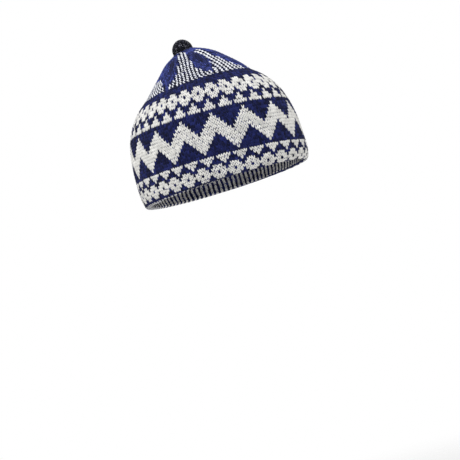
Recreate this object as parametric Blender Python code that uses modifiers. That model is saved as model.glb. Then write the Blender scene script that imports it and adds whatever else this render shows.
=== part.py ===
"""Knitted colour-work cap with a knob at its tip.

+Z is up along the cap's axis, +X is the wearer's front and the rim stands on z = 0.
All lengths are in metres and all angles in radians unless a name says otherwise.
"""

import math

import bmesh
import bpy
from mathutils import Quaternion, Vector

# Overall sizes
CAP_LENGTH = 0.1835
CAP_WIDTH = 0.1595
BAND_HEIGHT = 0.0985
CROWN_RISE = 0.039
RIM_GIRTH = 0.968
CROWN_START_GIRTH = 0.655

# Fabric
BAND_WALL = 0.0032
FACING_WALL = 0.0022
CROWN_WALL = 0.0022
FACING_HEIGHT = 0.030
HEM_FOLD_RADIUS = 0.0012
THREAD_RADIUS = 0.0008
CLEARANCE = 0.0004
BAND_TO_CROWN_GAP = 0.0009

# Crown sections
PANEL_COUNT = 7
FIRST_PANEL_DEG = -50.0
# Part of a sector that a striped panel takes, at climbs of 0 (band) to 1 (neck)
PANEL_SHARES = (
    (0.0, 0.945),
    (0.1, 0.93),
    (0.2, 0.77),
    (0.35, 0.54),
    (0.5, 0.45),
    (0.65, 0.44),
    (0.8, 0.48),
    (1.0, 0.50),
)
# The sections lean round by this much between the band and the climb where it ends
TWIST_DEG = -3.0
TWIST_END = 0.5
TWIST_EASE = 1.5
ROUNDING_EASE = 1.5

# The cap's own lean: its middle sways one way and its tip the other
SWAY = 0.0022
SWAY_AZIMUTH_DEG = 50.0
TIP_SHIFT = 0.003
NECK_LEAN_DEG = 8.5
NECK_DROP = 0.0018

# Knob
KNOB_RADIUS = 0.0102
KNOB_HEIGHT_ABOVE_CENTRE = 0.0107
KNOB_WALL = 0.0024
KNOB_OPENING_RADIUS = 0.0026
KNOB_LIFT = 0.0009
BINDING_RADIUS = 0.0008
THREAD_SEAT = 0.0002

# How finely the shapes are divided
ROUND_STEPS = 64
BAND_STEPS = 11
SECTION_COLUMNS = 4
SECTION_ROWS = 10
KNOB_STEPS = 24
THREAD_SIDES = 6

HALF_LENGTH = CAP_LENGTH / 2
OVAL = CAP_WIDTH / CAP_LENGTH
NECK_RADIUS = KNOB_RADIUS + CLEARANCE + CROWN_WALL * 2 / 3
SWAY_DIRECTION = Vector((
    math.cos(math.radians(SWAY_AZIMUTH_DEG)),
    math.sin(math.radians(SWAY_AZIMUTH_DEG)),
    0.0))
LEAN_AXIS = Vector((-SWAY_DIRECTION.y, SWAY_DIRECTION.x, 0.0))
TIP_OFFSET = -TIP_SHIFT * SWAY_DIRECTION
NECK_CENTRE = TIP_OFFSET + Vector((0.0, 0.0, BAND_HEIGHT + CROWN_RISE - NECK_DROP))
KNOB_CENTRE = TIP_OFFSET + Vector((0.0, 0.0, BAND_HEIGHT + CROWN_RISE + KNOB_LIFT))


def clear_scene():
    """Remove every object, so that the script starts from nothing."""
    for item in list(bpy.data.objects):
        bpy.data.objects.remove(item, do_unlink=True)


def smooth_curve(points, count):
    """Return count + 1 points along a Catmull-Rom curve through the given ones."""
    ends = [points[0]] + list(points) + [points[-1]]
    spans = len(points) - 1
    result = []
    for step in range(count + 1):
        place = step * spans / count
        index = min(int(place), spans - 1)
        t = place - index
        a, b, c, d = (Vector(p) for p in ends[index:index + 4])
        result.append(0.5 * (2 * b + (c - a) * t + (2 * a - 5 * b + 4 * c - d) * t * t
                             + (3 * b - a - 3 * c + d) * t * t * t))
    return result


def offset_curve(points, distance):
    """Move a profile of (radius, height) points towards its inner side."""
    moved = []
    for index, point in enumerate(points):
        before = points[max(index - 1, 0)]
        after = points[min(index + 1, len(points) - 1)]
        along = (after - before).normalized()
        moved.append(point + Vector((-along.y, along.x)) * distance)
    return moved


def band_profile():
    """Outer profile of the band, from the rim up to the crown."""
    girths = (
        (0.0, RIM_GIRTH),
        (0.10, 0.997),
        (0.25, 1.0),
        (0.40, 0.994),
        (0.53, 0.975),
        (0.65, 0.943),
        (0.76, 0.893),
        (0.86, 0.823),
        (0.94, 0.740),
        (1.0, CROWN_START_GIRTH),
    )
    points = [(girth * HALF_LENGTH, share * BAND_HEIGHT) for share, girth in girths]
    return smooth_curve(points, BAND_STEPS)


def crown_profile():
    """Outer profile of the crown, from the band up to the knob."""
    start = CROWN_START_GIRTH * HALF_LENGTH
    run = start - NECK_RADIUS
    points = (
        (start, BAND_HEIGHT + BAND_TO_CROWN_GAP),
        (start - 0.18 * run, BAND_HEIGHT + 0.21 * CROWN_RISE),
        (start - 0.45 * run, BAND_HEIGHT + 0.51 * CROWN_RISE),
        (start - 0.72 * run, BAND_HEIGHT + 0.80 * CROWN_RISE),
        (NECK_RADIUS, BAND_HEIGHT + CROWN_RISE),
    )
    return smooth_curve(points, SECTION_ROWS)


def panel_share(climb):
    """Part of a sector that the striped panel takes at a climb of 0 (band) to 1 (neck)."""
    for low, high in zip(PANEL_SHARES, PANEL_SHARES[1:]):
        if climb <= high[0]:
            t = (climb - low[0]) / (high[0] - low[0])
            return low[1] + (high[1] - low[1]) * t
    return PANEL_SHARES[-1][1]


def make_material(name, colour, roughness):
    """Return a fabric material of one colour."""
    material = bpy.data.materials.new(name)
    material.use_nodes = True
    shader = material.node_tree.nodes["Principled BSDF"]
    shader.inputs["Base Color"].default_value = (*colour, 1.0)
    shader.inputs["Roughness"].default_value = roughness
    shader.inputs["Metallic"].default_value = 0.0
    material.diffuse_color = (*colour, 1.0)
    return material


def add_object(name, mesh, material, collection):
    """Put a mesh into the collection as a smooth-shaded object."""
    item = bpy.data.objects.new(name, mesh)
    collection.objects.link(item)
    mesh.materials.append(material)
    mesh.shade_smooth()
    mesh.set_sharp_from_angle(angle=math.radians(40))
    return item


def add_screw(item, steps):
    """Turn the object's outline into a closed ring about Z."""
    screw = item.modifiers.new("Turn", "SCREW")
    screw.axis = "Z"
    screw.angle = math.tau
    screw.steps = steps
    screw.render_steps = steps
    screw.use_merge_vertices = True
    screw.merge_threshold = 0.00001
    screw.use_smooth_shade = True
    screw.use_normal_calculate = False
    return screw


def turned_object(name, outline, closed, steps, material, collection):
    """Make a turned solid from an outline of (radius, height) points."""
    mesh = bpy.data.meshes.new(name)
    shape = bmesh.new()
    verts = [shape.verts.new((point[0], 0.0, point[1])) for point in outline]
    for first, second in zip(verts, verts[1:]):
        shape.edges.new((first, second))
    if closed:
        shape.edges.new((verts[-1], verts[0]))
    shape.to_mesh(mesh)
    shape.free()
    item = add_object(name, mesh, material, collection)
    add_screw(item, steps)
    return item


def make_oval(item):
    """Narrow a turned object across Y to the cap's oval plan."""
    item.scale = (1.0, OVAL, 1.0)


def build_outer_band(material, collection):
    """The colour-work tube, from the hem fold up to the crown."""
    outer = band_profile()
    inner = offset_curve(outer, BAND_WALL)
    fold = HEM_FOLD_RADIUS
    slope = (outer[1] - outer[0]).normalized()
    foot = [
        Vector((outer[0].x - fold, 0.0)),
        outer[0] + slope * fold,
    ]
    inner_foot = Vector((outer[0].x - BAND_WALL, 0.0))
    outline = foot + outer[1:] + list(reversed(inner[1:])) + [inner_foot]
    outline.reverse()
    band = turned_object("outer_band", outline, True, ROUND_STEPS, material, collection)
    make_oval(band)
    return band


def inner_band_radius(height):
    """Radius of the band's inner side at a height, along X."""
    inner = offset_curve(band_profile(), BAND_WALL)
    inner[0] = Vector((band_profile()[0].x - BAND_WALL, 0.0))
    for low, high in zip(inner, inner[1:]):
        if low.y <= height <= high.y:
            t = (height - low.y) / (high.y - low.y)
            return low.x + (high.x - low.x) * t
    return inner[-1].x


def build_hem_facing(material, collection):
    """The layer that is turned up inside the band, from the fold to its sewn edge."""
    gap = CLEARANCE / OVAL
    steps = 4
    heights = [FACING_HEIGHT * step / steps for step in range(steps + 1)]
    outer = [Vector((inner_band_radius(z) - gap, z)) for z in heights]
    inner = [Vector((point.x - FACING_WALL, point.y)) for point in outer]
    outline = outer + list(reversed(inner))
    outline.reverse()
    facing = turned_object("hem_facing", outline, True, ROUND_STEPS, material, collection)
    make_oval(facing)
    return facing


def circle_outline(centre_radius, height, radius, sides):
    """A small round section at a distance from the axis."""
    points = []
    for side in range(sides):
        angle = -math.tau * side / sides
        across = centre_radius + radius * math.cos(angle)
        points.append(Vector((across, height + radius * math.sin(angle))))
    return points


def build_hem_thread(material, collection):
    """The sewing thread that lies on the facing's upper edge."""
    height = FACING_HEIGHT + CLEARANCE + THREAD_RADIUS
    centre = inner_band_radius(height) - CLEARANCE / OVAL - THREAD_RADIUS
    outline = circle_outline(centre, height, THREAD_RADIUS, THREAD_SIDES)
    thread = turned_object("hem_thread", outline, True, ROUND_STEPS, material, collection)
    make_oval(thread)
    return thread


def crown_point(profile, angle, climb):
    """A point of the crown's outer surface, which turns from oval to round as it climbs."""
    point = profile[round(climb * SECTION_ROWS)]
    untwisted = max(0.0, 1.0 - climb / TWIST_END) ** TWIST_EASE
    turned = angle + math.radians(TWIST_DEG) * (1.0 - untwisted)
    narrowing = OVAL + (1.0 - OVAL) * climb ** ROUNDING_EASE
    level = Vector((
        point.x * math.cos(turned), point.x * narrowing * math.sin(turned), point.y))
    across = level.dot(SWAY_DIRECTION)
    level.z += climb ** 4 * (math.tan(math.radians(NECK_LEAN_DEG)) * across - NECK_DROP)
    return level + SWAY * math.sin(math.pi * climb) * SWAY_DIRECTION + TIP_OFFSET * climb ** 2


def build_crown_section(name, centre_angle, share_of, material, collection):
    """One section of the crown: an open sheet between two edges, given its wall."""
    sector = math.tau / PANEL_COUNT
    profile = crown_profile()
    shape = bmesh.new()
    bmesh.ops.create_grid(
        shape, x_segments=SECTION_COLUMNS, y_segments=SECTION_ROWS, size=1.0)
    for vert in shape.verts:
        climb = min(max((vert.co.y + 1) / 2, 0.0), 1.0)
        radius = profile[round(climb * SECTION_ROWS)].x
        half = sector * share_of(climb) / 2 - CLEARANCE / 2 / radius / OVAL
        angle = centre_angle + half * vert.co.x
        vert.co = crown_point(profile, angle, climb)
    mesh = bpy.data.meshes.new(name)
    shape.to_mesh(mesh)
    shape.free()
    section = add_object(name, mesh, material, collection)
    wall = section.modifiers.new("Wall", "SOLIDIFY")
    wall.thickness = CROWN_WALL
    wall.offset = -1.0
    return section


def build_crown(panel_material, gore_material, collection):
    """Seven striped panels with a plain gore between each pair."""
    sector = math.tau / PANEL_COUNT
    first = math.radians(FIRST_PANEL_DEG)
    for number in range(PANEL_COUNT):
        centre = first + number * sector
        build_crown_section(
            f"crown_panel_{number + 1}", centre, panel_share, panel_material, collection)
        build_crown_section(
            f"crown_gore_{number + 1}", centre + sector / 2,
            lambda climb: 1.0 - panel_share(climb), gore_material, collection)


def lean_with_neck(item, location):
    """Stand a turned piece of the tip at a place, leaning as the neck does."""
    item.location = location
    item.rotation_mode = "QUATERNION"
    item.rotation_quaternion = Quaternion(LEAN_AXIS, -math.radians(NECK_LEAN_DEG))


def build_neck_binding(material, collection):
    """The yarn wound round the knob where it comes out of the crown."""
    centre = KNOB_RADIUS + CLEARANCE + BINDING_RADIUS
    height = BINDING_RADIUS + CLEARANCE
    outline = circle_outline(centre, height, BINDING_RADIUS, THREAD_SIDES + 2)
    binding = turned_object("neck_binding", outline, True, KNOB_STEPS, material, collection)
    lean_with_neck(binding, NECK_CENTRE)
    return binding


def knob_radius(turn, inset):
    """Distance from the knob's centre at an angle above its equator."""
    stretch = KNOB_HEIGHT_ABOVE_CENTRE - KNOB_RADIUS
    return KNOB_RADIUS - inset + stretch * max(0.0, math.sin(turn)) ** 4


def knob_arc(inset, bottom, count):
    """Points of the knob's profile from near its foot up to its top."""
    points = []
    for step in range(count + 1):
        turn = bottom + (math.pi / 2 - bottom) * step / count
        distance = knob_radius(turn, inset)
        points.append(Vector((distance * math.cos(turn), distance * math.sin(turn))))
    points[-1].x = 0.0
    return points


def build_knob(cover_material, filling_material, thread_material, collection):
    """The knob: a gathered cover, its wad of yarn and the thread that closes it."""
    foot = -math.acos(KNOB_OPENING_RADIUS / KNOB_RADIUS)
    inner_foot = -math.acos(KNOB_OPENING_RADIUS / (KNOB_RADIUS - KNOB_WALL))
    outer = knob_arc(0.0, foot, 9)
    inner = knob_arc(KNOB_WALL, inner_foot, 7)
    outline = list(reversed(outer)) + inner
    cover = turned_object("tip_knob", outline, False, KNOB_STEPS, cover_material, collection)
    lean_with_neck(cover, KNOB_CENTRE)

    wad = knob_arc(KNOB_WALL + CLEARANCE, -math.pi / 2, 8)
    wad[0].x = 0.0
    wad.reverse()
    filling = turned_object("tip_filling", wad, False, 16, filling_material, collection)
    lean_with_neck(filling, KNOB_CENTRE)

    centre = KNOB_OPENING_RADIUS - CLEARANCE - THREAD_RADIUS
    height = -KNOB_RADIUS + KNOB_WALL / 2 + THREAD_SEAT
    ring = circle_outline(centre, height, THREAD_RADIUS, THREAD_SIDES)
    thread = turned_object("gathering_thread", ring, True, 16, thread_material, collection)
    lean_with_neck(thread, KNOB_CENTRE)


def main():
    """Build the whole cap."""
    clear_scene()
    collection = bpy.data.collections.new("knitted_cap")
    bpy.context.scene.collection.children.link(collection)
    jacquard = make_material("navy_and_cream_wool", (0.12, 0.13, 0.24), 0.95)
    striped = make_material("striped_wool", (0.42, 0.43, 0.52), 0.95)
    navy = make_material("navy_wool", (0.035, 0.045, 0.16), 0.95)
    dark = make_material("dark_flecked_wool", (0.02, 0.02, 0.035), 0.95)
    thread = make_material("navy_sewing_yarn", (0.03, 0.035, 0.10), 0.9)
    binding = make_material("grey_brown_yarn", (0.10, 0.09, 0.085), 0.95)
    build_outer_band(jacquard, collection)
    build_hem_facing(striped, collection)
    build_hem_thread(thread, collection)
    build_crown(striped, navy, collection)
    build_neck_binding(binding, collection)
    build_knob(dark, navy, thread, collection)


main()
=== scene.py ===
"""Looks of the knitted colour-work cap: every stitch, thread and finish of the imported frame.

Fabric places are written in stitches across, rows up and metres of depth, and are then
laid onto the cap's curved surfaces. Lengths are in metres unless a name says otherwise.
"""

import math

import bmesh
import bpy
import numpy as np
from bpy.props import (
    FloatProperty,
    FloatVectorProperty,
    IntProperty,
    PointerProperty,
)
from mathutils import Matrix, Quaternion, Vector


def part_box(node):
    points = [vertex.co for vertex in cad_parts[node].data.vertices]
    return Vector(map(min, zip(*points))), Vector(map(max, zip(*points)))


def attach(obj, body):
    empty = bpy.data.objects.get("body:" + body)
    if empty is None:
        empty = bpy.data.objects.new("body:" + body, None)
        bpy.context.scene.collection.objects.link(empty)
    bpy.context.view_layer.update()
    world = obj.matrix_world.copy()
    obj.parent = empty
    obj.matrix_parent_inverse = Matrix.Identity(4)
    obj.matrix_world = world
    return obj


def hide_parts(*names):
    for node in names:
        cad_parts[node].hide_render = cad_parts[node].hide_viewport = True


bl_info = {
    "name": "Knitted Cap",
    "version": (1, 0, 0),
    "blender": (4, 5, 0),
    "location": "View3D > Sidebar > Knitted Cap",
    "description": "Builds a colour-work knitted cap stitch by stitch around its frame",
    "category": "Object",
}

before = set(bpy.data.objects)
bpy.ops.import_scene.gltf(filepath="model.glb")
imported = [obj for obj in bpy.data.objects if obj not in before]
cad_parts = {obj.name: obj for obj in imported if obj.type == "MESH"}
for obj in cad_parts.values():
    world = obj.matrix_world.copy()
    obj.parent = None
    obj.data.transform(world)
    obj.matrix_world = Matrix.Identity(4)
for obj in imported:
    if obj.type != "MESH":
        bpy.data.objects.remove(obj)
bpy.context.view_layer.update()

# The cap's frame
BAND_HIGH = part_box("outer_band")[1]
HALF_LENGTH = BAND_HIGH[0]
OVAL = BAND_HIGH[1] / BAND_HIGH[0]
BAND_HEIGHT = BAND_HIGH[2]
FACING_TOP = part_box("hem_facing")[1][2]
CROWN_START_GIRTH = 0.655
CROWN_RISE = 0.039
BAND_WALL = 0.0032
FACING_WALL = 0.0022
KNOB_RADIUS = 0.0102
KNOB_STRETCH = 0.0005
KNOB_OPENING_RADIUS = 0.0026
KNOB_WALL = 0.0024
NECK_RADIUS = KNOB_RADIUS + 0.0004 + 0.0022 * 2 / 3
NECK_LEAN = math.radians(8.5)
NECK_DROP = 0.0018
SWAY = 0.0022
SWAY_DIRECTION = Vector((math.cos(math.radians(50.0)), math.sin(math.radians(50.0)), 0.0))
TIP_OFFSET = -0.003 * SWAY_DIRECTION
NECK_CENTRE = TIP_OFFSET + Vector((0.0, 0.0, BAND_HEIGHT + CROWN_RISE - NECK_DROP))
KNOB_CENTRE = TIP_OFFSET + Vector((0.0, 0.0, BAND_HEIGHT + CROWN_RISE + 0.0009))
TIP_TURN = Quaternion((-SWAY_DIRECTION.y, SWAY_DIRECTION.x, 0.0), -NECK_LEAN).to_matrix()

# Height of the band as a share of its whole, and its girth there
BAND_GIRTHS = (
    (0.0, 0.968),
    (0.10, 0.997),
    (0.25, 1.0),
    (0.40, 0.994),
    (0.53, 0.975),
    (0.65, 0.943),
    (0.76, 0.893),
    (0.86, 0.823),
    (0.94, 0.740),
    (1.0, CROWN_START_GIRTH),
)
# Part of the crown's run inwards and of its rise
CROWN_STEPS = ((0.0, 0.0), (0.18, 0.21), (0.45, 0.51), (0.72, 0.80), (1.0, 1.0))

# The stage
FLOOR_RADIUS = 0.85
FLOOR_FADE = (0.35, 0.84)
SOFTBOX_SIZE = 1.4
SOFTBOX_PLACE = (0.62, -0.70, 1.25)
SOFTBOX_AIM = (0.0, 0.0, 0.08)

# The knitting
REPEAT = 12
FIRST_FLOWER_ARC = 0.36313
FLOWER_COLUMN = 2
GAP_COLUMN = 5
FACING_ROWS = 12
HEM_STITCHES = 102
FLOAT_REACH = 0.0026
BAND_ROWS = 34
PANEL_COUNT = 7
FIRST_PANEL = math.radians(-50.0)
PANEL_COLUMNS = 23
CROWN_ROWS = 17
TWIST = math.radians(-3.0)
TWIST_END = 0.5
# Part of a sector that a striped panel takes, from the band (0) to the knob (1)
PANEL_SHARES = (
    (0.0, 0.945),
    (0.1, 0.93),
    (0.2, 0.77),
    (0.35, 0.54),
    (0.5, 0.45),
    (0.65, 0.44),
    (0.8, 0.48),
    (1.0, 0.50),
)
# How far up the crown the stripes run on before each plain gore opens between them
GORE_STARTS = (0.19, 0.0, 0.19, 0.0, 0.19, 0.0, 0.0)
# How far each striped panel stands aside of its sector's middle, in stitches
PANEL_SHIFTS = (0.0, -1.6, 0.0, 0.0, 0.0, 0.0, 0.0)
# Width of each striped panel's stitches as a multiple of the usual width
PANEL_STRETCHES = (1.0, 1.35, 1.0, 1.0, 1.0, 1.0, 1.0)
# How far up the crown the white of each striped panel runs
PANEL_ENDS = (1.0, 0.8, 1.0, 0.8, 1.0, 0.8, 0.38)
# How much narrower each striped panel is on its far side near the band, in stitches
PANEL_TRIMS = (0.0, 2.0, 0.0, 0.0, 0.0, 0.0, 0.0)
KNOB_COLUMNS = 32
KNOB_ROWS = 13
KNOB_TOP_ROW = 10
KNOB_FLECKS = 0.12
KNOB_STITCH_DEPTH = 0.0003
BINDING_WINDS = 6
WAD_TURNS = 9
KNOB_FOOT = math.radians(-55.0)
COURSE_TILT = math.radians(2.84)
COURSE_TILT_AZIMUTH = math.radians(50.4)


def linear(hex_colour):
    """Turn an sRGB hex colour into linear red, green and blue."""
    values = []
    for start in (0, 2, 4):
        value = int(hex_colour[start:start + 2], 16) / 255
        values.append(value / 12.92 if value <= 0.04045 else ((value + 0.055) / 1.055) ** 2.4)
    return tuple(values)


class KnitCapSizes(bpy.types.PropertyGroup):
    """Sizes of the yarn and the knitting."""

    repeats: IntProperty(
        name="Pattern Repeats",
        description="How many times the twelve-stitch pattern goes round the band",
        default=17, min=8, max=30)
    leg_width: FloatProperty(
        name="Leg Width",
        description="Half the width of one leg of a stitch, as a part of the stitch",
        default=0.255, min=0.1, max=0.5, subtype="FACTOR")
    leg_length: FloatProperty(
        name="Leg Length",
        description="Length of one leg of a stitch, as a part of the row's height",
        default=1.30, min=0.8, max=2.0)
    leg_lean: FloatProperty(
        name="Leg Lean",
        description="How far a leg leans out from its foot to its top, in stitch widths",
        default=0.34, min=0.0, max=0.6)
    yarn_depth: FloatProperty(
        name="Yarn Thickness",
        description="Thickness of the yarn through the fabric",
        default=0.0015, min=0.0004, max=0.004, unit="LENGTH")
    column_wave: FloatProperty(
        name="Column Wave",
        description="How far the columns of stitches wander to each side",
        default=0.00030, min=0.0, max=0.002, unit="LENGTH")
    unevenness: FloatProperty(
        name="Unevenness",
        description="How far each stitch strays from its place, as a part of its size",
        default=0.08, min=0.0, max=0.3, subtype="FACTOR")
    thread: FloatProperty(
        name="Thread Thickness",
        description="Thickness of the sewing yarn",
        default=0.0011, min=0.0004, max=0.003, unit="LENGTH")


class KnitCapColours(bpy.types.PropertyGroup):
    """Colours of the yarns and of the stage."""

    band_dark: FloatVectorProperty(
        name="Band Navy", description="Navy yarn of the band",
        default=linear("10153a"), size=3, min=0.0, max=1.0, subtype="COLOR")
    band_light: FloatVectorProperty(
        name="Band Cream", description="Cream yarn of the band",
        default=linear("efeeea"), size=3, min=0.0, max=1.0, subtype="COLOR")
    # Crown navy: the navy painted brighter than the band's, as painted light from above on the
    # crown's sloping top.
    crown_navy_painted_light: FloatVectorProperty(
        name="Crown Navy", description="Brighter navy yarn of the crown",
        default=linear("37407e"), size=3, min=0.0, max=1.0, subtype="COLOR")
    # Stripe navy: the crown's navy painted deeper, as painted shade in the sunken rows between
    # the white stripes; the crown's ground and back strands take it too.
    stripe_navy_painted_shade: FloatVectorProperty(
        name="Stripe Navy", description="Deep navy between the crown's white stripes",
        default=linear("0d1130"), size=3, min=0.0, max=1.0, subtype="COLOR")
    crown_light: FloatVectorProperty(
        name="Crown White", description="White yarn of the crown's stripes",
        default=linear("f3f6ff"), size=3, min=0.0, max=1.0, subtype="COLOR")
    knob: FloatVectorProperty(
        name="Knob Black", description="Blue-black yarn of the knob",
        default=linear("0c0c1a"), size=3, min=0.0, max=1.0, subtype="COLOR")
    fleck: FloatVectorProperty(
        name="Knob Fleck", description="Grey-brown flecks in the knob's yarn",
        default=linear("b9b9c6"), size=3, min=0.0, max=1.0, subtype="COLOR")
    floor: FloatVectorProperty(
        name="Floor", description="Pale floor under the cap",
        default=linear("f4f4f4"), size=3, min=0.0, max=1.0, subtype="COLOR")


class KnitCapStage(bpy.types.PropertyGroup):
    """Where the camera stands and how the light falls."""

    camera: FloatVectorProperty(
        name="Camera", description="Where the camera stands",
        default=(0.9182, -0.7585, -0.0933), size=3, subtype="TRANSLATION", unit="LENGTH")
    aim: FloatVectorProperty(
        name="Aim", description="The point at the middle of the view",
        default=(-0.0063, -0.0077, -0.0426), size=3, subtype="TRANSLATION", unit="LENGTH")
    roll: FloatProperty(
        name="Roll", description="How far the camera is turned about its own axis",
        default=math.radians(-16.96), subtype="ANGLE", unit="ROTATION")
    lens: FloatProperty(
        name="Lens", description="Focal length on a sensor 36 mm wide",
        default=96.32, min=10.0, max=300.0)
    floor_height: FloatProperty(
        name="Floor Height", description="Height of the floor under the cap's rim",
        default=-0.42, unit="LENGTH")
    softbox_power: FloatProperty(
        name="Softbox Power", description="Power of the large light above the cap",
        default=16.5, min=0.0)
    room_light: FloatProperty(
        name="Room Light", description="Strength of the even light from all round",
        default=0.68, min=0.0)


# ---------------------------------------------------------------- materials


def add_node(tree, kind, settings=None, links=None, values=None):
    """Add a node with its settings, its unlinked values and the sockets that feed it."""
    node = tree.nodes.new(kind)
    for name, value in (settings or {}).items():
        setattr(node, name, value)
    for socket, value in (values or {}).items():
        node.inputs[socket].default_value = value
    for socket, source in (links or {}).items():
        tree.links.new(source, node.inputs[socket])
    return node


def new_material(name):
    """Return an empty node material and its tree."""
    material = bpy.data.materials.new(name)
    material.use_nodes = True
    material.node_tree.nodes.clear()
    return material, material.node_tree


def cloudy(tree, place, size_mm, detail, roughness, low, high):
    """Add noise of a real size, and a tone between low and high that follows it."""
    noise = add_node(
        tree, "ShaderNodeTexNoise", None, {"Vector": place},
        {"Scale": 1000.0 / size_mm, "Detail": detail, "Roughness": roughness})
    tone = add_node(
        tree, "ShaderNodeMapRange", None, {"Value": noise.outputs["Fac"]},
        {"From Min": 0.3, "From Max": 0.7, "To Min": low, "To Max": high})
    return noise.outputs["Fac"], tone.outputs["Result"]


def scaled(colour, factor):
    """Return a colour made darker or brighter, as a node value."""
    return (*(min(part * factor, 1.0) for part in colour), 1.0)


def wool(name, dark, light, roughness=0.9, sheen=0.03, fibre_mm=0.45, patch_mm=7.0,
         dark_spread=(0.45, 4.6), light_spread=(0.90, 1.08)):
    """Spun wool, knitted.

    Wool scatters light softly: no highlight, a pale bloom of loose fibre at grazing angles,
    a slightly uneven dye from stitch to stitch and a fine fibrous relief. The face value
    "light_yarn" says which of the two yarns a stitch is made of, and "yarn_tone" how deep
    its dye took.
    """
    found = bpy.data.materials.get(name)
    if found:
        return found
    material, tree = new_material(name)
    place = add_node(tree, "ShaderNodeTexCoord").outputs["Object"]
    yarn = add_node(tree, "ShaderNodeAttribute", {"attribute_name": "light_yarn"})
    dye = add_node(tree, "ShaderNodeAttribute", {"attribute_name": "yarn_tone"})
    darks = add_node(
        tree, "ShaderNodeMix", {"data_type": "RGBA"}, {0: dye.outputs["Fac"]},
        {6: scaled(dark, dark_spread[0]), 7: scaled(dark, dark_spread[1])})
    lights = add_node(
        tree, "ShaderNodeMix", {"data_type": "RGBA"}, {0: dye.outputs["Fac"]},
        {6: scaled(light, light_spread[0]), 7: scaled(light, light_spread[1])})
    colours = add_node(
        tree, "ShaderNodeMix", {"data_type": "RGBA"},
        {0: yarn.outputs["Fac"], 6: darks.outputs[2], 7: lights.outputs[2]})
    # Dye takes unevenly over lengths of a few stitches.
    _, patch_tone = cloudy(tree, place, patch_mm, 3.0, 0.6, 0.84, 1.14)
    # Single fibres, about half a millimetre apart where they catch the light.
    fibres, fibre_tone = cloudy(tree, place, fibre_mm, 2.0, 0.7, 0.82, 1.14)
    tone = add_node(
        tree, "ShaderNodeMath", {"operation": "MULTIPLY"},
        {0: patch_tone, 1: fibre_tone})
    shaded = add_node(
        tree, "ShaderNodeVectorMath", {"operation": "SCALE"},
        {0: colours.outputs[2], "Scale": tone.outputs["Value"]})
    bump = add_node(
        tree, "ShaderNodeBump", None, {"Height": fibres},
        {"Strength": 0.45, "Distance": 0.0004})
    rough = add_node(
        tree, "ShaderNodeMapRange", None, {"Value": fibres},
        {"From Min": 0.2, "From Max": 0.8, "To Min": roughness - 0.08, "To Max": 1.0})
    shader = add_node(
        tree, "ShaderNodeBsdfPrincipled", None,
        {"Base Color": shaded.outputs["Vector"], "Normal": bump.outputs["Normal"],
         "Roughness": rough.outputs["Result"]},
        {"Metallic": 0.0, "IOR": 1.45, "Specular IOR Level": 0.2,
         "Sheen Weight": sheen, "Sheen Roughness": 0.5})
    add_node(
        tree, "ShaderNodeOutputMaterial", None, {"Surface": shader.outputs["BSDF"]})
    return material


def band_wool():
    """Navy and cream worsted of the band and its facing."""
    colours = bpy.context.scene.knit_cap_colours
    return wool("jacquard worsted wool", colours.band_dark, colours.band_light)


def stripe_wool():
    """Deep navy and white worsted of the crown's stripes: the strongest contrast of all. The
    navy is painted deeper than the gores' navy, as painted shade in the sunken rows between the
    white stripes.
    """
    colours = bpy.context.scene.knit_cap_colours
    return wool(
        "striped worsted wool", colours.stripe_navy_painted_shade, colours.crown_light,
        dark_spread=(0.4, 3.0), light_spread=(0.98, 1.10))


def gore_wool():
    """Brighter navy worsted of the crown's plain gores: the navy is painted brighter than the
    band's, as painted light from above on the crown's sloping top.
    """
    colours = bpy.context.scene.knit_cap_colours
    return wool(
        "navy worsted wool", colours.crown_navy_painted_light, colours.crown_light,
        dark_spread=(0.35, 2.6))


def knob_wool():
    """Blue-black wool flecked with grey-brown, of the knob and the yarn wound round it."""
    colours = bpy.context.scene.knit_cap_colours
    return wool(
        "flecked dark wool", colours.knob, colours.fleck, fibre_mm=0.5, patch_mm=2.2,
        dark_spread=(0.35, 2.6), light_spread=(0.35, 1.2))


def thread_wool():
    """Plied navy sewing yarn."""
    colours = bpy.context.scene.knit_cap_colours
    return wool(
        "plied sewing yarn", colours.band_dark, colours.band_light, roughness=0.85,
        fibre_mm=0.35)


# ---------------------------------------------------------------- the cap's surfaces


def smooth_curve(points, count):
    """Return points along a Catmull-Rom curve through the given ones."""
    ends = [points[0]] + list(points) + [points[-1]]
    spans = len(points) - 1
    result = []
    for step in range(count + 1):
        place = step * spans / count
        index = min(int(place), spans - 1)
        t = place - index
        a, b, c, d = (Vector(p) for p in ends[index:index + 4])
        result.append(0.5 * (2 * b + (c - a) * t + (2 * a - 5 * b + 4 * c - d) * t * t
                             + (3 * b - a - 3 * c + d) * t * t * t))
    return result


def lengths_along(points):
    """Distance of every point from the first, along the line."""
    points = np.asarray(points)
    steps = np.linalg.norm(np.diff(points, axis=0), axis=1)
    return np.concatenate([[0.0], np.cumsum(steps)])


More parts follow.
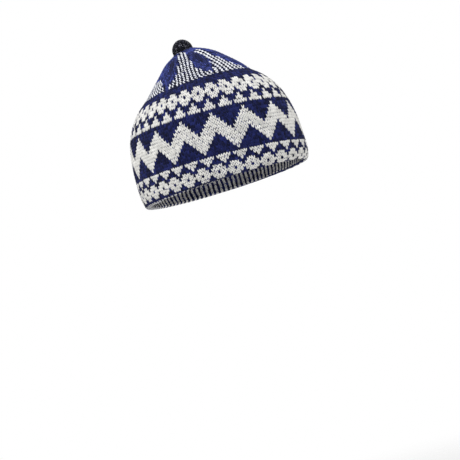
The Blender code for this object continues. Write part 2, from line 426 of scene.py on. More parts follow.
def band_line():
    """The fabric's line in section: down the facing, round the fold and up the band.

    Returns radii along X, heights, and the distances from the outer corner of the fold.
    """
    points = [(share * BAND_HEIGHT, girth * HALF_LENGTH) for share, girth in BAND_GIRTHS]
    outer = [(p.y, p.x) for p in smooth_curve(points, 90)]
    outer_radius = np.array([p[0] for p in outer])
    outer_height = np.array([p[1] for p in outer])
    inside = BAND_WALL + 0.0005 + FACING_WALL
    facing_heights = np.linspace(FACING_TOP, 0.0045, 14)
    facing = [(np.interp(h, outer_height, outer_radius) - inside, h) for h in facing_heights]
    foot = outer_radius[0]
    fold = [
        facing[-1],
        (foot - inside + 0.0001, 0.0020),
        (foot - inside + 0.0012, 0.0005),
        (foot - 0.5 * inside, 0.0),
        (foot - 0.0013, 0.0003),
        (np.interp(0.0013, outer_height, outer_radius) - 0.0001, 0.0015),
        (np.interp(0.0038, outer_height, outer_radius), 0.0038),
    ]
    turned = [tuple(p) for p in smooth_curve(fold, 36)]
    above = [p for p in outer if p[1] > 0.0042]
    line = facing[:-1] + turned + above
    distance = lengths_along(line)
    radius = np.array([p[0] for p in line])
    height = np.array([p[1] for p in line])
    corner = len(facing) - 1 + 26
    return radius, height, distance - distance[corner]


LINE_RADIUS, LINE_HEIGHT, LINE_PLACE = band_line()


def outer_place(height):
    """Distance along the band's line of a height on its outer side."""
    outside = LINE_PLACE > 0.0
    return float(np.interp(height, LINE_HEIGHT[outside], LINE_PLACE[outside]))


# Rows counted up from the fold, and where each stands along the fabric's line
ROW_MARKS = (-float(FACING_ROWS), 0.0, 3.5, 10.5, 21.5, 28.5, float(BAND_ROWS))
ROW_PLACES = (
    float(LINE_PLACE[0]) + 0.0006,
    outer_place(0.0067) - 3.5 * 0.0027,
    outer_place(0.0067),
    outer_place(0.0256),
    outer_place(0.0590),
    outer_place(0.0825),
    float(LINE_PLACE[-1]),
)

ROUND_ANGLES = np.linspace(0.0, 2.0 * math.tau, 2881)
ROUND_ARCS = lengths_along(np.stack(
    [HALF_LENGTH * np.cos(ROUND_ANGLES), HALF_LENGTH * OVAL * np.sin(ROUND_ANGLES)], axis=1))
ROUND_LENGTH = ROUND_ARCS[-1] / 2


def ripple(across, up, seed):
    """Slow waves between -1 and 1 that run through the fabric."""
    waves = np.sin(across * 0.83 + up * 0.37 + seed)
    waves = waves + np.sin(across * 0.31 - up * 0.61 + 2.3 * seed)
    waves = waves + np.sin(across * 1.57 + up * 0.93 + 4.1 * seed)
    return waves / 3.0


def band_surface(column, row):
    """Point of the band or facing at a stitch column and row."""
    stitches = bpy.context.scene.knit_cap_sizes.repeats * REPEAT
    pitch = ROUND_LENGTH / stitches
    drift = 0.7 * np.clip((row - 20.0) / 8.0, 0.0, 1.0)
    wave = bpy.context.scene.knit_cap_sizes.column_wave
    arc = FIRST_FLOWER_ARC + (column - FLOWER_COLUMN - 0.5 + drift) * pitch
    # The waves close up where the last column meets the first.
    turn = column * math.tau / stitches
    wander = wave * (np.sin(7 * turn + row * 0.55) + np.sin(17 * turn - row * 0.9)) / 2
    angle = np.interp(np.mod(arc + wander, ROUND_LENGTH), ROUND_ARCS, ROUND_ANGLES)
    x = HALF_LENGTH * np.cos(angle)
    y = HALF_LENGTH * OVAL * np.sin(angle)
    lean = -math.tan(COURSE_TILT) * (
        x * math.cos(COURSE_TILT_AZIMUTH) + y * math.sin(COURSE_TILT_AZIMUTH))
    fade = np.interp(row, (-float(FACING_ROWS), -2.0, 28.5, float(BAND_ROWS)), (0, 1, 1, 0))
    place = np.interp(row, ROW_MARKS, ROW_PLACES) + lean * fade
    place = place + wave * np.sin(11 * turn + 1.1 * row) * 0.5 * fade
    radius = np.interp(place, LINE_PLACE, LINE_RADIUS)
    height = np.interp(place, LINE_PLACE, LINE_HEIGHT)
    return np.stack([radius * np.cos(angle), radius * OVAL * np.sin(angle), height], axis=-1)


def crown_line():
    """The crown's outer line in section, with the distance along it."""
    start = CROWN_START_GIRTH * HALF_LENGTH
    run = start - NECK_RADIUS
    points = [(start - inwards * run, BAND_HEIGHT + rise * CROWN_RISE)
              for inwards, rise in CROWN_STEPS]
    line = [tuple(p) for p in smooth_curve(points, 70)]
    distance = lengths_along(line)
    radius = np.array([p[0] for p in line])
    height = np.array([p[1] for p in line])
    return radius, height, distance / distance[-1]


CROWN_RADIUS, CROWN_HEIGHT, CROWN_PLACE = crown_line()
CROWN_CLIMB = np.linspace(0.0, 1.0, len(CROWN_PLACE))


def crown_climb(row):
    """How far up the crown a row is, from 0 at the band to 1 at the knob."""
    place = np.clip(np.asarray(row) / CROWN_ROWS, 0.0, 1.0)
    return np.interp(place, CROWN_PLACE, CROWN_CLIMB)


def sector_width(climb):
    """Width of one of the crown's seven sectors along the fabric."""
    radius = np.interp(climb, CROWN_CLIMB, CROWN_RADIUS)
    narrowing = OVAL + (1.0 - OVAL) * climb ** 1.5
    return math.tau * radius * (1.0 + narrowing) / 2 / PANEL_COUNT


def crown_pitch(climb):
    """Width of one stitch on the crown."""
    first = float(sector_width(np.array(0.0))) / PANEL_COLUMNS
    return first * (0.78 + 0.22 * np.maximum(0.0, 1.0 - climb / 0.35) ** 2)


def panel_share(climb):
    """Part of a sector that the striped panel takes."""
    climbs, shares = zip(*PANEL_SHARES)
    return np.interp(climb, climbs, shares)


def crown_place(angle, climb):
    """Point of the crown at an angle round it and at a climb."""
    untwisted = np.maximum(0.0, 1.0 - climb / TWIST_END) ** 1.5
    turned = angle + TWIST * (1.0 - untwisted)
    radius = np.interp(climb, CROWN_CLIMB, CROWN_RADIUS)
    height = np.interp(climb, CROWN_CLIMB, CROWN_HEIGHT)
    x = radius * np.cos(turned)
    y = radius * (OVAL + (1.0 - OVAL) * climb ** 1.5) * np.sin(turned)
    across = x * SWAY_DIRECTION.x + y * SWAY_DIRECTION.y
    height = height + climb ** 4 * (math.tan(NECK_LEAN) * across - NECK_DROP)
    sway = SWAY * np.sin(math.pi * climb)
    return np.stack([
        x + sway * SWAY_DIRECTION.x + TIP_OFFSET.x * climb ** 2,
        y + sway * SWAY_DIRECTION.y + TIP_OFFSET.y * climb ** 2,
        height], axis=-1)


def crown_surface(centre, column, row):
    """Point of the crown at a column counted from a section's middle and at a row."""
    climb = crown_climb(row)
    wave = bpy.context.scene.knit_cap_sizes.column_wave
    across = column * crown_pitch(climb)
    across = across + wave * 1.3 * ripple(column, row * 1.7, centre)
    # Every row's stitches bow to one side and back, so a stripe runs up in small waves.
    across = across + wave * 0.8 * np.sin(math.tau * np.asarray(row))
    angle = centre + math.tau / PANEL_COUNT * across / sector_width(climb)
    return crown_place(angle, climb)


def tip_place(point):
    """Turn and move points of the knob's own frame to where the knob stands."""
    return point @ np.array(TIP_TURN).T + np.array(KNOB_CENTRE)


def knob_place(angle, turn, inset=0.0):
    """Point of the knob's outside at an angle round it and an angle above its equator."""
    distance = KNOB_RADIUS - inset + KNOB_STRETCH * np.maximum(0.0, np.sin(turn)) ** 4
    # The lower half is fuller than a ball's.
    flat = distance * np.where(
        turn < 0.0, np.maximum(np.cos(turn), 0.0) ** 0.55, np.cos(turn))
    return tip_place(np.stack(
        [flat * np.cos(angle), flat * np.sin(angle), distance * np.sin(turn)], axis=-1))


def knob_surface(column, row):
    """Point of the knob's knitting at a column and a row."""
    turn = KNOB_FOOT + (math.radians(89.0) - KNOB_FOOT) * row / KNOB_ROWS
    return knob_place(column * math.tau / KNOB_COLUMNS, turn)


def lay_on(mesh, surface, depth_of=None):
    """Move a flat piece of fabric onto a surface: stitches, rows and depth become places."""
    count = len(mesh.vertices)
    flat = np.empty(count * 3)
    mesh.vertices.foreach_get("co", flat)
    flat = flat.reshape(count, 3)
    column, row, depth = flat[:, 0], flat[:, 1], flat[:, 2]
    step = 0.02
    point = surface(column, row)
    along = surface(column + step, row) - surface(column - step, row)
    up = surface(column, row + step) - surface(column, row - step)
    normal = np.cross(along, up)
    normal /= np.maximum(np.linalg.norm(normal, axis=1, keepdims=True), 1e-12)
    if depth_of is not None:
        depth = depth + depth_of(column, row)
    placed = point + normal * depth[:, None]
    mesh.vertices.foreach_set("co", placed.astype(np.float32).ravel())
    mesh.update()


# ---------------------------------------------------------------- stitches


def band_is_light(column, row):
    """Whether the band's chart has a cream stitch at this column and row."""
    column = column % REPEAT
    if row < 0:
        return column % 2 == 0
    from_flower = min(abs(column - FLOWER_COLUMN), abs(column - FLOWER_COLUMN - 6))
    from_flower = min(from_flower, abs(column - FLOWER_COLUMN - REPEAT))
    from_gap = min(abs(column - GAP_COLUMN), abs(column - GAP_COLUMN - 6))
    from_gap = min(from_gap, abs(column - GAP_COLUMN + 6))
    from_point = abs(column - GAP_COLUMN)
    from_point = min(from_point, REPEAT - from_point)
    if 1 <= row <= 5 or 26 <= row <= 30:
        level = row - 1 if row <= 5 else row - 26
        if level in (0, 4):
            return from_flower <= 1
        if level == 2:
            return from_flower != 0
        return from_flower <= 2
    if 6 <= row <= 8:
        return from_gap <= row - 6
    if 10 <= row <= 21:
        return 10 + from_point <= row <= 15 + from_point
    if 23 <= row <= 25:
        return from_gap <= 25 - row
    return False


def drop_of_yarn(shape, centre, half, lean, sides=5):
    """Add a plump drop of yarn, its long axis up the fabric and its top leaning aside."""
    place = Matrix((
        (half[0], 0.0, lean, centre[0]),
        (0.0, 0.0, half[1], centre[1]),
        (0.0, -half[2], 0.0, centre[2]),
        (0.0, 0.0, 0.0, 1.0)))
    bmesh.ops.create_uvsphere(
        shape, u_segments=sides, v_segments=4, radius=1.0, matrix=place)


def plain_stitch(depth=0.0):
    """The face of a knitted stitch: two legs that meet at their feet."""
    sizes = bpy.context.scene.knit_cap_sizes
    half = (sizes.leg_width, sizes.leg_length / 2, sizes.yarn_depth / 2)
    shape = bmesh.new()
    for side in (-1, 1):
        centre = (side * 0.25, 0.0, depth - sizes.yarn_depth / 2)
        drop_of_yarn(shape, centre, half, side * sizes.leg_lean / 2)
    return shape


def slanted_stitch():
    """A tall stitch of the crown, one leg standing proud and slanting over the other."""
    depth = bpy.context.scene.knit_cap_sizes.yarn_depth / 2
    shape = bmesh.new()
    drop_of_yarn(shape, (0.08, 0.0, -depth), (0.30, 0.60, depth), -0.20)
    drop_of_yarn(shape, (-0.30, 0.0, -depth * 1.7), (0.22, 0.55, depth * 0.8), -0.16)
    return shape


def stripe_stitch(half_width):
    """A tall stitch of a stripe: its yarn bows to one side and back, and stands full."""
    depth = bpy.context.scene.knit_cap_sizes.yarn_depth / 2
    shape = bmesh.new()
    for side in (-1, 1):
        drop_of_yarn(
            shape, (-0.22 * side, 0.25 * side, -depth), (half_width, 0.38, depth), -0.13)
    return shape


def back_strand():
    """A level strand of yarn on the back of the fabric."""
    depth = bpy.context.scene.knit_cap_sizes.yarn_depth / 2
    place = Matrix((
        (0.0, 0.0, 0.66, 0.0),
        (0.0, 0.27, 0.05, 0.0),
        (-depth, 0.0, 0.0, 0.0),
        (0.0, 0.0, 0.0, 1.0)))
    shape = bmesh.new()
    bmesh.ops.create_uvsphere(shape, u_segments=4, v_segments=4, radius=1.0, matrix=place)
    bmesh.ops.recalc_face_normals(shape, faces=shape.faces)
    return shape


def mesh_from(shape, name):
    """Turn a bmesh into a mesh."""
    mesh = bpy.data.meshes.new(name)
    shape.to_mesh(mesh)
    shape.free()
    return mesh


def finished_mesh(item, name):
    """Turn an object, with its modifiers or its curve's bevel, into a mesh and drop it."""
    evaluated = item.evaluated_get(bpy.context.evaluated_depsgraph_get())
    mesh = bpy.data.meshes.new_from_object(evaluated)
    mesh.name = name
    bpy.data.objects.remove(item)
    return mesh


def write_faces(mesh, name, values):
    """Store one number for each face."""
    values = np.ascontiguousarray(values, dtype=np.float32)
    mesh.attributes.new(name, "FLOAT", "FACE").data.foreach_set("value", values)


def knit(name, stitch, cells, depth=0.0, seed=1, flecks=0.0):
    """Work one stitch over every (column, row, light) cell of a flat piece.

    Flecks are the part of the yarn's surface that is of the lighter fibre.
    """
    single = mesh_from(stitch, name + "_stitch")
    verts_each = len(single.vertices)
    faces_each = len(single.polygons)
    item = bpy.data.objects.new(name + "_stitch", single)
    bpy.context.scene.collection.objects.link(item)
    array = item.modifiers.new("Stitches", "ARRAY")
    array.fit_type = "FIXED_COUNT"
    array.count = len(cells)
    array.use_relative_offset = False
    mesh = finished_mesh(item, name)
    bpy.data.meshes.remove(single)
    cells = np.array(cells, dtype=float)
    places = np.empty(len(mesh.vertices) * 3)
    mesh.vertices.foreach_get("co", places)
    places = places.reshape(len(cells), verts_each, 3)
    chance = np.random.default_rng(seed)
    stray = bpy.context.scene.knit_cap_sizes.unevenness
    astray = np.clip(chance.normal(0.0, stray, (len(cells), 1, 2)), -2 * stray, 2 * stray)
    leaning = np.clip(chance.normal(0.0, stray, (len(cells), 1)), -2 * stray, 2 * stray)
    places[:, :, 0] += cells[:, None, 0] + 0.5 + astray[:, :, 0] + leaning * places[:, :, 1]
    places[:, :, 1] += cells[:, None, 1] + 0.5 + astray[:, :, 1]
    places[:, :, 2] += depth
    mesh.vertices.foreach_set("co", places.astype(np.float32).ravel())
    tone = chance.random((len(cells), 1)) * 0.65 + chance.random((len(cells), faces_each)) * 0.35
    # Most of the yarn took the dye deeply; some stitches stand out paler.
    tone = tone ** 1.8
    light = np.repeat(cells[:, 2], faces_each)
    flecked = chance.random(len(light)) < flecks
    light = np.where(flecked, chance.uniform(0.3, 0.9, len(light)), light)
    write_faces(mesh, "light_yarn", light)
    write_faces(mesh, "yarn_tone", tone.ravel())
    mesh.shade_smooth()
    return mesh


def finish_piece(name, mesh, material, body, replaced=()):
    """Link a finished mesh as a piece that rides on a body."""
    item = bpy.data.objects.new(name, mesh)
    bpy.context.scene.collection.objects.link(item)
    mesh.materials.append(material)
    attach(item, body)
    if replaced:
        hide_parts(*replaced)
    return item


def band_cells(first_row, last_row, light_of=band_is_light):
    """Every cell of the band or facing between two rows."""
    columns = bpy.context.scene.knit_cap_sizes.repeats * REPEAT
    return [(column, row, light_of(column, row))
            for row in range(first_row, last_row) for column in range(columns)]


def add_round(name, first_row, last_row, replaced=()):
    """Knit a round strip of the band or facing."""
    mesh = knit(name, plain_stitch(), band_cells(first_row, last_row), seed=first_row + 50)
    lay_on(mesh, band_surface)
    return finish_piece(name, mesh, band_wool(), "cap", replaced)


def add_ground(name, columns, rows, surface, depth, thickness, material, body="cap"):
    """Lay the close dark sheet of carried yarn behind the stitches, all the way round."""
    shape = bmesh.new()
    bmesh.ops.create_grid(shape, x_segments=columns, y_segments=rows[1] - rows[0], size=0.5)
    bmesh.ops.translate(shape, verts=shape.verts, vec=(0.5, 0.5, 0.0))
    bmesh.ops.scale(shape, verts=shape.verts, vec=(columns, rows[1] - rows[0], 1.0))
    bmesh.ops.translate(shape, verts=shape.verts, vec=(0.0, rows[0], depth))
    mesh = mesh_from(shape, name)
    lay_on(mesh, surface)
    joined = bmesh.new()
    joined.from_mesh(mesh)
    bmesh.ops.remove_doubles(joined, verts=joined.verts, dist=0.00002)
    joined.to_mesh(mesh)
    joined.free()
    write_faces(mesh, "light_yarn", np.zeros(len(mesh.polygons)))
    write_faces(mesh, "yarn_tone", np.random.default_rng(9).random(len(mesh.polygons)))
    mesh.shade_smooth()
    item = finish_piece(name, mesh, material, body)
    wall = item.modifiers.new("Wall", "SOLIDIFY")
    wall.thickness = thickness
    wall.offset = -1.0
    return item


def add_yarn(name, path, radius, material, body, closed=True, plies=2, twist=0.003,
             replaced=(), light=0.0):
    """Lay a plied yarn along a path: its plies wind round each other."""
    path = np.asarray(path)
    along = lengths_along(path)
    before = np.roll(path, 1, axis=0)
    after = np.roll(path, -1, axis=0)
    if not closed:
        before[0] = path[0]
        after[-1] = path[-1]
    forward = after - before
    forward /= np.linalg.norm(forward, axis=1, keepdims=True)
    side = np.cross(forward, (0.13, 0.31, 0.94))
    side /= np.linalg.norm(side, axis=1, keepdims=True)
    over = np.cross(forward, side)
    whole = along[-1] + (np.linalg.norm(path[-1] - path[0]) if closed else 0.0)
    turns = max(1, round(whole / twist))
    curve = bpy.data.curves.new(name, "CURVE")
    curve.dimensions = "3D"
    curve.bevel_depth = radius * (0.62 if plies > 1 else 1.0)
    curve.bevel_resolution = 1
    curve.use_fill_caps = True
    for ply in range(plies):
        phase = math.tau * (turns * along / whole + ply / plies)
        off = radius * 0.42 if plies > 1 else 0.0
        points = path + off * (np.cos(phase)[:, None] * side + np.sin(phase)[:, None] * over)
        spline = curve.splines.new("POLY")
        spline.points.add(len(points) - 1)
        spline.points.foreach_set("co", np.hstack([points, np.ones((len(points), 1))]).ravel())
        spline.use_cyclic_u = closed
    item = bpy.data.objects.new(name, curve)
    bpy.context.scene.collection.objects.link(item)
    mesh = finished_mesh(item, name)
    chance = np.random.default_rng(len(name))
    flecks = chance.random(len(mesh.polygons)) < light
    write_faces(mesh, "light_yarn", flecks)
    write_faces(mesh, "yarn_tone", chance.random(len(mesh.polygons)))
    mesh.shade_smooth()
    mesh.materials.clear()
    return finish_piece(name, mesh, material, body, replaced)


# ---------------------------------------------------------------- operators


class KNITCAP_OT_stage(bpy.types.Operator):
    """Add the floor, the light and the camera"""

    bl_idname = "knit_cap.add_stage"
    bl_label = "Add Stage"

    def execute(self, context):
        stage = context.scene.knit_cap_stage
        colours = context.scene.knit_cap_colours
        shape = bmesh.new()
        bmesh.ops.create_circle(shape, cap_ends=True, segments=96, radius=FLOOR_RADIUS)
        bmesh.ops.translate(shape, verts=shape.verts, vec=(0.0, 0.0, stage.floor_height))
        floor = bpy.data.objects.new("floor", mesh_from(shape, "floor"))
        context.scene.collection.objects.link(floor)
        material, tree = new_material("matt white paint")
        # Rolled paint: an even white with a faint unevenness.
        place = add_node(tree, "ShaderNodeTexCoord").outputs["Object"]
        cloud = add_node(
            tree, "ShaderNodeTexNoise", None, {"Vector": place}, {"Scale": 3.0})
        tone = add_node(
            tree, "ShaderNodeMapRange", None, {"Value": cloud.outputs["Fac"]},
            {"To Min": 0.99, "To Max": 1.01})
        colour = add_node(
            tree, "ShaderNodeVectorMath", {"operation": "SCALE"},
            {"Scale": tone.outputs["Result"]}, {0: colours.floor})
        shader = add_node(
            tree, "ShaderNodeBsdfPrincipled", None,
            {"Base Color": colour.outputs["Vector"]},
            {"Roughness": 0.9, "Specular IOR Level": 0.1})
        # The floor's rim melts into the pale room.
        level = add_node(
            tree, "ShaderNodeVectorMath", {"operation": "MULTIPLY"}, {0: place},
            {1: (1.0, 1.0, 0.0)})
        reach = add_node(
            tree, "ShaderNodeVectorMath", {"operation": "LENGTH"},
            {0: level.outputs["Vector"]})
        fade = add_node(
            tree, "ShaderNodeMapRange", {"interpolation_type": "SMOOTHSTEP"},
            {"Value": reach.outputs["Value"]},
            {"From Min": FLOOR_FADE[0], "From Max": FLOOR_FADE[1]})
        clear = add_node(tree, "ShaderNodeBsdfTransparent")
        mixed = add_node(
            tree, "ShaderNodeMixShader", None,
            {0: fade.outputs["Result"], 1: shader.outputs["BSDF"], 2: clear.outputs["BSDF"]})
        add_node(
            tree, "ShaderNodeOutputMaterial", None, {"Surface": mixed.outputs["Shader"]})
        floor.data.materials.append(material)

        world = bpy.data.worlds.new("soft room")
        world.use_nodes = True
        room = world.node_tree
        room.nodes.clear()
        light = add_node(
            room, "ShaderNodeBackground", None, None,
            {"Color": (1.0, 1.0, 1.0, 1.0), "Strength": stage.room_light})
        paper = add_node(
            room, "ShaderNodeBackground", None, None,
            {"Color": (1.0, 1.0, 1.0, 1.0), "Strength": 1.0})
        seen = add_node(room, "ShaderNodeLightPath")
        both = add_node(
            room, "ShaderNodeMixShader", None,
            {0: seen.outputs["Is Camera Ray"], 1: light.outputs["Background"],
             2: paper.outputs["Background"]})
        add_node(room, "ShaderNodeOutputWorld", None, {"Surface": both.outputs["Shader"]})
        context.scene.world = world

        lamp = bpy.data.lights.new("softbox", "AREA")
        lamp.energy = stage.softbox_power
        lamp.size = SOFTBOX_SIZE
        softbox = bpy.data.objects.new("softbox", lamp)
        softbox.location = SOFTBOX_PLACE
        softbox.rotation_mode = "QUATERNION"
        toward = Vector(SOFTBOX_AIM) - softbox.location
        softbox.rotation_quaternion = toward.to_track_quat("-Z", "Y")
        context.scene.collection.objects.link(softbox)

        lens = bpy.data.cameras.new("camera")
        lens.lens = stage.lens
        lens.sensor_width = 36.0
        lens.clip_start = 0.01
        camera = bpy.data.objects.new("camera", lens)
        look = (Vector(stage.aim) - Vector(stage.camera)).to_track_quat("-Z", "Y")
        camera.rotation_mode = "QUATERNION"
        camera.rotation_quaternion = look @ Quaternion((0.0, 0.0, 1.0), stage.roll)
        camera.location = stage.camera
        context.scene.collection.objects.link(camera)
        context.scene.camera = camera
        context.scene.view_settings.view_transform = "Standard"
        return {"FINISHED"}


class KNITCAP_OT_band(bpy.types.Operator):
    """Knit the band's two flower borders and its zigzag"""

    bl_idname = "knit_cap.knit_band"
    bl_label = "Knit Band"

    def execute(self, context):
        add_round("band_lower_border", 0, 10, ("outer_band",))
        add_round("band_zigzag", 10, 22)
        add_round("band_upper_border", 22, BAND_ROWS)
        return {"FINISHED"}


class KNITCAP_OT_facing(bpy.types.Operator):
    """Knit the striped facing that is turned up inside the band"""

    bl_idname = "knit_cap.knit_facing"
    bl_label = "Knit Facing"

    def execute(self, context):
        add_round("facing_stripes", -FACING_ROWS, 0, ("hem_facing",))
        return {"FINISHED"}


class KNITCAP_OT_band_back(bpy.types.Operator):
    """Lay the close ground and the carried strands behind the band"""

    bl_idname = "knit_cap.back_band"
    bl_label = "Back Band"

    def execute(self, context):
        columns = context.scene.knit_cap_sizes.repeats * REPEAT
        add_ground(
            "band_ground", columns, (-FACING_ROWS, BAND_ROWS), band_surface, -0.0009,
            0.0007, band_wool())
        cells = band_cells(8, BAND_ROWS, lambda column, row: not band_is_light(column, row))
        mesh = knit("band_floats", back_strand(), cells, -0.0023, 7)
        lay_on(mesh, band_surface)
        finish_piece("band_floats", mesh, band_wool(), "cap")
        return {"FINISHED"}


class KNITCAP_OT_hem_thread(bpy.types.Operator):
    """Sew the facing's upper edge to the band with slanting stitches"""

    bl_idname = "knit_cap.sew_hem"
    bl_label = "Sew Hem"

    def execute(self, context):
        thread = context.scene.knit_cap_sizes.thread
        steps = 6
        count = HEM_STITCHES * steps
        place = np.arange(count) / steps
        column = place * context.scene.knit_cap_sizes.repeats * REPEAT / HEM_STITCHES
        swing = np.sin(math.tau * place)
        # The needle passes up through the facing's edge and catches a float above it.
        row = -FACING_ROWS + 0.15 - 0.75 * swing
        over = band_surface(column, np.maximum(row, -float(FACING_ROWS)))
        inner = 0.0006 + 0.0006 * np.cos(math.tau * place)
        centre = np.array((0.0, 0.0, FACING_TOP))
        inward = centre - over
        inward[:, 2] = 0.0
        inward /= np.linalg.norm(inward, axis=1, keepdims=True)
        above = np.minimum(row + FACING_ROWS, 0.0)
        path = over + inward * inner[:, None]
        path[:, 2] -= above * FLOAT_REACH
        add_yarn(
            "hem_whip_stitches", path, thread / 2, thread_wool(), "cap",
            replaced=("hem_thread",))
        return {"FINISHED"}


def panel_shift(climb):
    """How far the panels stand aside of their sector's middle near the band, in stitches."""
    return max(0.0, 1.0 - climb / 0.3)


def crown_halves(row):
    """The climb at a row, and half of a panel's and of a gore's width in stitches."""
    climb = float(crown_climb(row + 0.5))
    sector = float(sector_width(climb) / crown_pitch(climb))
    share = float(panel_share(climb))
    return climb, share * sector / 2, (1.0 - share) * sector / 2


def panel_trim(number, climb):
    """How many stitches a panel gives up to the gore after it."""
    return PANEL_TRIMS[number] * 1.5 * (1.0 - climb)


def panel_cells(number):
    """Cells of one striped panel, which narrows as it climbs and is all navy past its end."""
    cells = []
    for row in range(CROWN_ROWS):
        climb, half, _ = crown_halves(row)
        last = half - 0.2 - panel_trim(number, climb)
        stretch = PANEL_STRETCHES[number]
        for column in range(-13, 15):
            if 0.2 - half <= column * stretch - panel_shift(climb) <= last:
                light = column % 2 == 0 and climb < PANEL_ENDS[number]
                cells.append((column - 0.5 + PANEL_SHIFTS[number] / stretch, row, light))
    return cells


def gore_cells(number):
    """Cells of one plain gore, which opens as a point and widens as it climbs."""
    after = (number + 1) % PANEL_COUNT
    cells = []
    for row in range(CROWN_ROWS):
        climb, _, half = crown_halves(row)
        first = PANEL_SHIFTS[number] - panel_trim(number, climb) - half - 0.35
        last = PANEL_SHIFTS[after] + half + 0.35
        for column in range(-14, 12):
            if first <= column <= last:
                striped = climb < GORE_STARTS[number] and column % 2 == 1
                cells.append((column - 0.5 + panel_shift(climb), row, striped))
    return cells


def gore_pucker(column, row):
    """How far a gore sinks along its middle, where its decreases pull it in."""
    climb = crown_climb(row)
    return -0.0014 * np.exp(-(column / 2.4) ** 2) * np.exp(-((climb - 0.6) / 0.2) ** 2)


def add_section(name, stitch, cells, centre, material, replaced=(), depth_of=None,
                stretch=1.0):
    """Knit one section of the crown about its own middle line."""
    mesh = knit(name, stitch, cells, 0.0, int(math.degrees(centre)) + 400)
    lay_on(mesh, lambda column, row: crown_surface(centre, column * stretch, row), depth_of)
    return finish_piece(name, mesh, material, "cap", replaced)


class KNITCAP_OT_crown(bpy.types.Operator):
    """Knit the crown's seven striped panels and the plain gores between them"""

    bl_idname = "knit_cap.knit_crown"
    bl_label = "Knit Crown"

    def execute(self, context):
        sector = math.tau / PANEL_COUNT
        for number in range(PANEL_COUNT):
            centre = FIRST_PANEL + number * sector
            cells = panel_cells(number)
            end = PANEL_ENDS[number]
            stretch = PANEL_STRETCHES[number]
            light = [cell for cell in cells if cell[2]]
            plain = [cell for cell in cells if float(crown_climb(cell[1] + 0.5)) >= end]
            dark = [cell for cell in cells if not cell[2] and cell not in plain]
            add_section(
                f"crown_stripes_{number + 1}", stripe_stitch(0.40), light, centre,
                stripe_wool(), (f"crown_panel_{number + 1}",),
                stretch=stretch)
            # The navy between the stripes takes the stripe navy, painted deeper as painted
            # shade.
            add_section(
                f"crown_between_{number + 1}", stripe_stitch(0.46), dark, centre,
                stripe_wool(), stretch=stretch)
            if plain:
                add_section(
                    f"crown_past_{number + 1}", slanted_stitch(), plain, centre, gore_wool(),
                    stretch=stretch)
            middle = centre + sector / 2
            cells = gore_cells(number)
            light = [cell for cell in cells if cell[2]]
            dark = [cell for cell in cells if not cell[2]]
            # The gores' navy is painted brighter, as painted light from above.
            add_section(
                f"crown_plain_{number + 1}", slanted_stitch(), dark, middle, gore_wool(),
                (f"crown_gore_{number + 1}",), gore_pucker)
            if light:
                add_section(
                    f"crown_point_{number + 1}", stripe_stitch(0.40), light, middle,
                    stripe_wool())
        return {"FINISHED"}


class KNITCAP_OT_crown_back(bpy.types.Operator):
    """Lay the close ground and the strands behind the crown"""

    bl_idname = "knit_cap.back_crown"
    bl_label = "Back Crown"

    def execute(self, context):
        columns = PANEL_COUNT * PANEL_COLUMNS

        def all_round(column, row):
            return crown_place(column * math.tau / columns, crown_climb(row))

        add_ground(
            "crown_ground", columns, (0, CROWN_ROWS), all_round, -0.0010, 0.0006,
            stripe_wool())
        sector = math.tau / PANEL_COUNT
        for number in range(PANEL_COUNT):
            centre = FIRST_PANEL + number * sector
            strands = [
                (column, row, not light and row < PANEL_ENDS[number] * CROWN_ROWS)
                for column, row, light in panel_cells(number)]
            for name, cells, middle, stretch, slot in (
                    ("panel", strands, centre, PANEL_STRETCHES[number], "striped_wool"),
                    ("gore", gore_cells(number), centre + sector / 2, 1.0, "navy_wool")):
                mesh = knit(
                    f"crown_{name}_back_{number + 1}", back_strand(), cells, -0.0021,
                    number + 20)
                lay_on(
                    mesh, lambda column, row: crown_surface(middle, column * stretch, row))
                finish_piece(mesh.name, mesh, stripe_wool(), "cap")
        return {"FINISHED"}


class KNITCAP_OT_binding(bpy.types.Operator):
    """Wind yarn round the knob where it comes out of the crown"""

    bl_idname = "knit_cap.wind_binding"
    bl_label = "Wind Binding"

    def execute(self, context):
        place = np.linspace(0.0, BINDING_WINDS, BINDING_WINDS * 48, endpoint=False)
        radius = NECK_RADIUS + 0.0001 - 0.0007 * place
        height = -0.0007 + 0.00035 * place + 0.0001 * np.sin(5.0 * math.tau * place)
        flat = np.stack([
            radius * np.cos(math.tau * place), radius * np.sin(math.tau * place), height],
            axis=-1)
        path = flat @ np.array(TIP_TURN).T + np.array(NECK_CENTRE)
        add_yarn(
            "neck_winding", path, 0.0006, knob_wool(), "cap", closed=False,
            replaced=("neck_binding",), light=0.08)
        return {"FINISHED"}


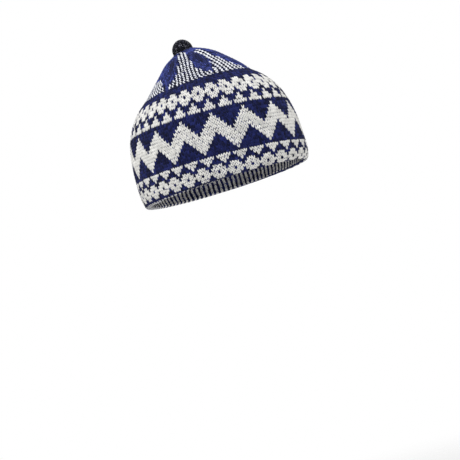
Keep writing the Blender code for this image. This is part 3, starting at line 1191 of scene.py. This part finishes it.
class KNITCAP_OT_knob(bpy.types.Operator):
    """Knit the flecked knob, stuff it and draw its foot together"""

    bl_idname = "knit_cap.knit_knob"
    bl_label = "Knit Knob"

    def execute(self, context):
        cells = [(column, row, 0) for row in range(KNOB_TOP_ROW)
                 for column in range(KNOB_COLUMNS)]
        mesh = knit(
            "knob_cover", plain_stitch(KNOB_STITCH_DEPTH), cells, seed=5, flecks=KNOB_FLECKS)
        lay_on(mesh, knob_surface)
        cover = finish_piece(
            "knob_cover", mesh, knob_wool(), "tip", ("tip_knob",))
        # Every second column ends before the crown of the knob.
        cells = [(column, row, 0) for row in range(KNOB_TOP_ROW, KNOB_ROWS)
                 for column in range(KNOB_COLUMNS // 2)]
        mesh = knit(
            "knob_top", plain_stitch(KNOB_STITCH_DEPTH), cells, seed=6, flecks=KNOB_FLECKS)
        lay_on(mesh, lambda column, row: knob_surface(column * 2, row))
        top = finish_piece("knob_top", mesh, knob_wool(), "tip")
        add_ground(
            "knob_ground", KNOB_COLUMNS, (-1, KNOB_ROWS), knob_surface, -0.0006, 0.0010,
            knob_wool(), "tip")

        place = np.linspace(0.0, 1.0, WAD_TURNS * 20)
        path = knob_place(
            WAD_TURNS * math.tau * place, np.radians(-88.0 + 176.0 * place), KNOB_WALL + 0.0012)
        add_yarn(
            "knob_wad", path, 0.0010, knob_wool(), "tip", closed=False,
            replaced=("tip_filling",))

        angle = np.arange(24) * math.tau / 24
        radius = KNOB_OPENING_RADIUS - 0.0012 + 0.0003 * np.cos(4 * angle)
        ring = np.stack([
            radius * np.cos(angle), radius * np.sin(angle),
            np.full(24, -KNOB_RADIUS + 0.0014)], axis=-1)
        add_yarn(
            "foot_drawstring", tip_place(ring), context.scene.knit_cap_sizes.thread / 2,
            thread_wool(), "tip", replaced=("gathering_thread",),
            twist=0.002)
        return {"FINISHED"}


OPERATORS = (
    KNITCAP_OT_stage,
    KNITCAP_OT_band,
    KNITCAP_OT_facing,
    KNITCAP_OT_band_back,
    KNITCAP_OT_hem_thread,
    KNITCAP_OT_crown,
    KNITCAP_OT_crown_back,
    KNITCAP_OT_binding,
    KNITCAP_OT_knob,
)
GROUPS = (KnitCapSizes, KnitCapColours, KnitCapStage)


class KNITCAP_PT_panel(bpy.types.Panel):
    """Lists the steps that build the cap"""

    bl_idname = "KNITCAP_PT_panel"
    bl_label = "Knitted Cap"
    bl_space_type = "VIEW_3D"
    bl_region_type = "UI"
    bl_category = "Knitted Cap"

    def draw(self, context):
        for operator in OPERATORS:
            self.layout.operator(operator.bl_idname)


def register():
    """Register the settings, the operators and the panel."""
    for group in GROUPS:
        bpy.utils.register_class(group)
    bpy.types.Scene.knit_cap_sizes = PointerProperty(type=KnitCapSizes)
    bpy.types.Scene.knit_cap_colours = PointerProperty(type=KnitCapColours)
    bpy.types.Scene.knit_cap_stage = PointerProperty(type=KnitCapStage)
    for operator in OPERATORS:
        bpy.utils.register_class(operator)
    bpy.utils.register_class(KNITCAP_PT_panel)


def unregister():
    """Take the panel, the operators and the settings away again."""
    bpy.utils.unregister_class(KNITCAP_PT_panel)
    for operator in reversed(OPERATORS):
        bpy.utils.unregister_class(operator)
    del bpy.types.Scene.knit_cap_stage
    del bpy.types.Scene.knit_cap_colours
    del bpy.types.Scene.knit_cap_sizes
    for group in reversed(GROUPS):
        bpy.utils.unregister_class(group)


def main():
    """Build the whole cap and its stage."""
    register()
    bpy.ops.knit_cap.add_stage()
    bpy.ops.knit_cap.knit_band()
    bpy.ops.knit_cap.knit_facing()
    bpy.ops.knit_cap.back_band()
    bpy.ops.knit_cap.sew_hem()
    bpy.ops.knit_cap.knit_crown()
    bpy.ops.knit_cap.back_crown()
    bpy.ops.knit_cap.wind_binding()
    bpy.ops.knit_cap.knit_knob()


if __name__ == "__main__":
    main()
